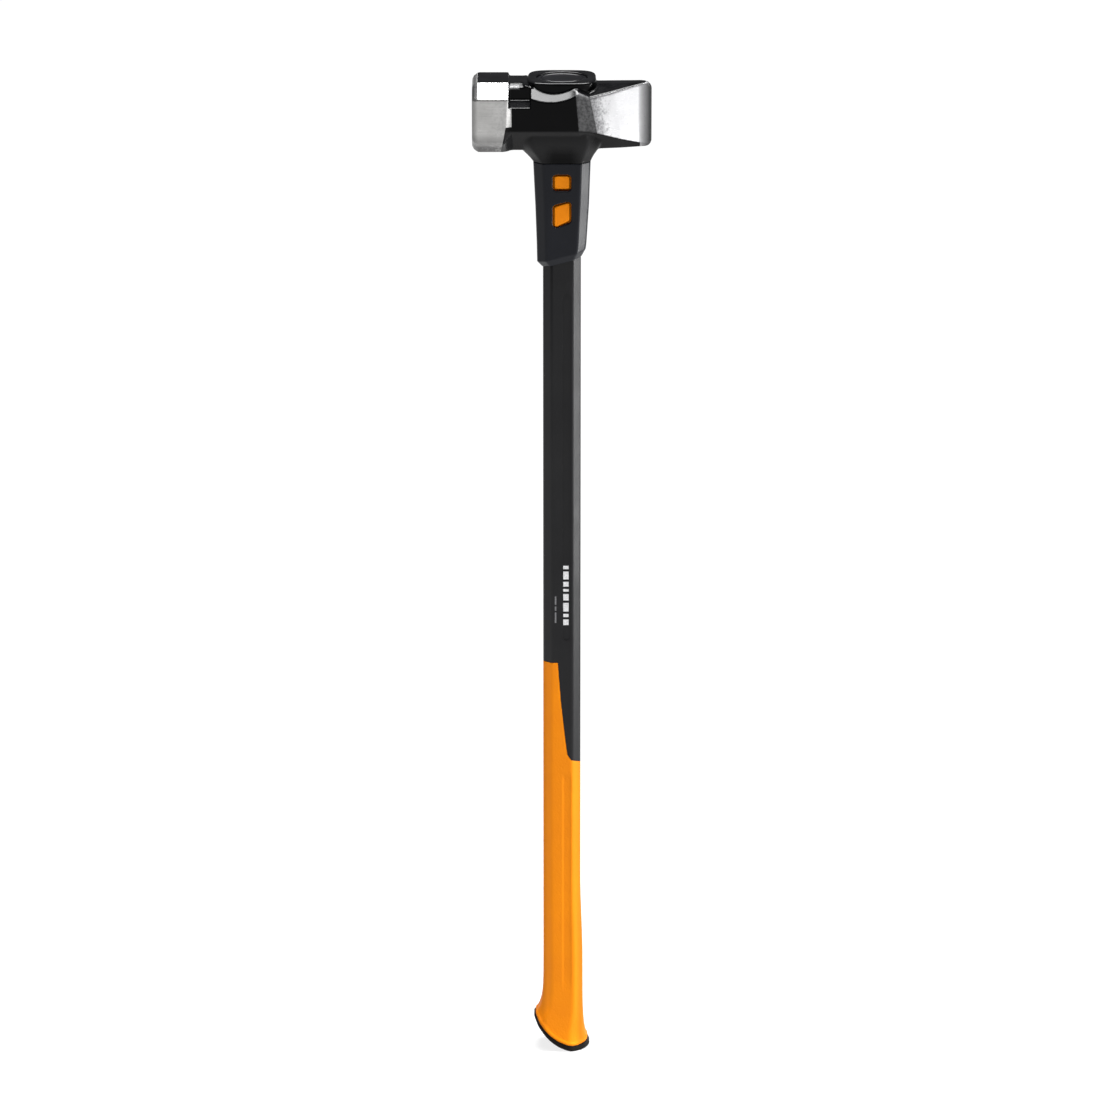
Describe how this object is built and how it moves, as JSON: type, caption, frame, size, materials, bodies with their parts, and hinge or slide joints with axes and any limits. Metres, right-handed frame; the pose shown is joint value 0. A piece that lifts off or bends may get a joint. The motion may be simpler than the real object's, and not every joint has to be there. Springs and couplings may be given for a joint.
{
  "type": "splitting maul",
  "caption": "Long-handled splitting maul: forged steel head with a square poll and a bevelled wedge, moulded collar, composite shaft and flared soft grip.",
  "frame": {"origin": "on the handle's axis at the lowest point of the butt", "axes": "+Z along the handle to the head, +X towards the cutting edge, Y across the plane of symmetry"},
  "size_m": [0.159, 0.0668, 0.921],
  "materials": {
    "head_steel": "gloss black paint, with the poll and the cheeks ground bright",
    "ring_steel": "brushed",
    "plug_plastic": "semi-gloss moulded",
    "bushing_plastic": "moulded",
    "sleeve_orange": "matte elastomer",
    "collar_plastic": "fine spark texture",
    "core_fibreglass": "pultruded glass fibre",
    "damping_rubber": "matte",
    "shaft_plastic": "satin moulded",
    "former_plastic": "moulded",
    "grip_orange": "soft-touch, fine dimples",
    "butt_plastic": "fine texture"
  },
  "bodies": {
    "root": {"head_forging": "head_steel", "eye_bushing": "bushing_plastic", "lock_ring": "ring_steel", "eye_plug": "plug_plastic", "insulation_sleeve": "sleeve_orange", "collar": "collar_plastic", "handle_core": "core_fibreglass", "damping_layer": "damping_rubber", "shaft_shell": "shaft_plastic", "butt_former": "former_plastic", "grip": "grip_orange", "butt_cap": "butt_plastic"}
  },
  "joints": []
}
